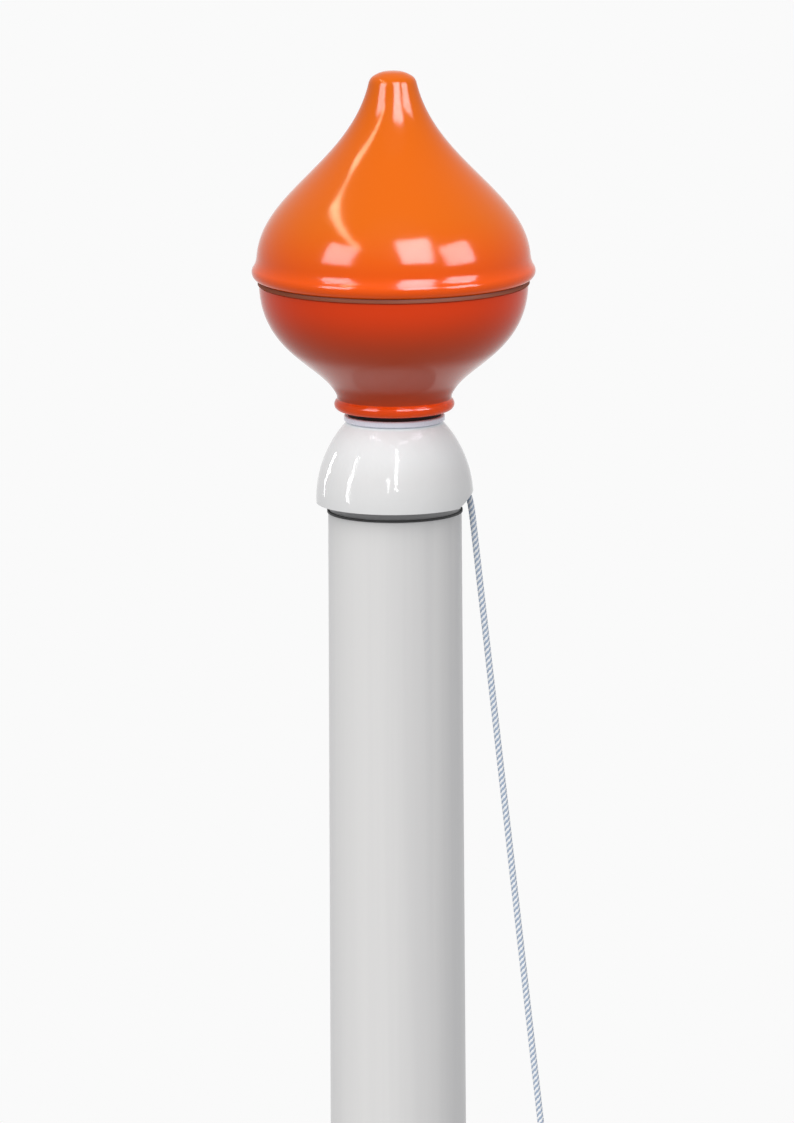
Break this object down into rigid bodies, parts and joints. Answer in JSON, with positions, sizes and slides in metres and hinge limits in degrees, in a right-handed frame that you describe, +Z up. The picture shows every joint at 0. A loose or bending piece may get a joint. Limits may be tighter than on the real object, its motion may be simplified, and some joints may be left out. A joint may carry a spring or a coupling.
{
  "type": "flagpole",
  "caption": "Tapered white flagpole with internal halyard, turning cap and onion finial, lockable cleat hatch, crank winch and bolted foot.",
  "frame": {"origin": "centre of the foot plate's underside, on the ground", "axes": "+Z up along the pole; the hatch and the winch face -Y; the halyard leaves the cap towards +X"},
  "size_m": [0.22, 0.2655, 6.2631],
  "materials": {
    "pole_white": "satin",
    "finial_orange": "gloss",
    "cap_white": "gloss",
    "grey_plastic": "matt",
    "black_rubber": "matt",
    "black_plastic": "satin",
    "hatch_white": "satin",
    "satin_metal": "satin",
    "satin_steel": "satin",
    "bright_metal": "polished",
    "galvanised": "galvanised",
    "rope": "braided"
  },
  "bodies": {
    "pole": {"base_plate": "galvanised", "base_spigot": "galvanised", "base_collar": "cap_white", "pole_tube": "pole_white", "hatch_housing": "hatch_white", "rope_eye": "bright_metal", "cleat_body": "black_plastic", "stop_plug": "black_plastic", "catch_lug": "hatch_white", "winch_rosette": "satin_steel", "winch_frame": "satin_steel", "head_gasket": "black_rubber", "head_plug": "grey_plastic", "bearing_tube": "grey_plastic", "bearing_washer": "black_plastic", "halyard_riser": "rope"},
    "head": {"swivel_bracket": "satin_metal", "stem_clip": "satin_steel", "cap_dome": "cap_white", "sheave_axle": "satin_steel", "spacer_ring": "satin_metal", "finial_seal": "black_rubber", "finial_lower": "finial_orange", "finial_upper": "finial_orange", "finial_stud": "satin_steel", "finial_nut": "satin_steel", "halyard_head": "rope", "halyard_fall": "rope", "hook_swivel": "bright_metal", "snap_hook": "bright_metal", "snap_gate": "bright_metal"},
    "sheave": {"sheave": "black_plastic", "sheave_bush": "satin_steel"},
    "winch": {"winch_drum": "satin_steel", "drum_turns": "rope", "crank_hub": "satin_steel", "crank_arm": "satin_steel", "grip_spindle": "satin_steel"},
    "grip": {"crank_grip": "black_plastic"},
    "cover": {"hatch_cover": "grey_plastic", "lock_housing": "black_plastic"},
    "lock": {"lock_plug": "bright_metal", "lock_cam": "satin_steel", "key": "bright_metal"}
  },
  "joints": [
    {"name": "cap_swivel", "type": "hinge", "parent": "pole", "child": "head", "pos_m": [0, 0, 6], "axis": [0, 0, 1], "continuous": true},
    {"name": "sheave_turn", "type": "hinge", "parent": "head", "child": "sheave", "pos_m": [0.015, 0, 6.0376], "axis": [0, 1, 0], "continuous": true},
    {"name": "winch_turn", "type": "hinge", "parent": "pole", "child": "winch", "pos_m": [0, -0.05, 1.03], "axis": [0, 1, 0], "continuous": true},
    {"name": "grip_turn", "type": "hinge", "parent": "winch", "child": "grip", "pos_m": [0.0881, -0.12, 0.95608], "axis": [0, 1, 0], "continuous": true},
    {"name": "cover_lift", "type": "slide", "parent": "pole", "child": "cover", "axis": [0, -1, 0], "range_m": [0, 0.04]},
    {"name": "key_turn", "type": "hinge", "parent": "cover", "child": "lock", "pos_m": [0, -0.05, 1.362], "axis": [0, 1, 0], "range_deg": [0, 90]}
  ]
}
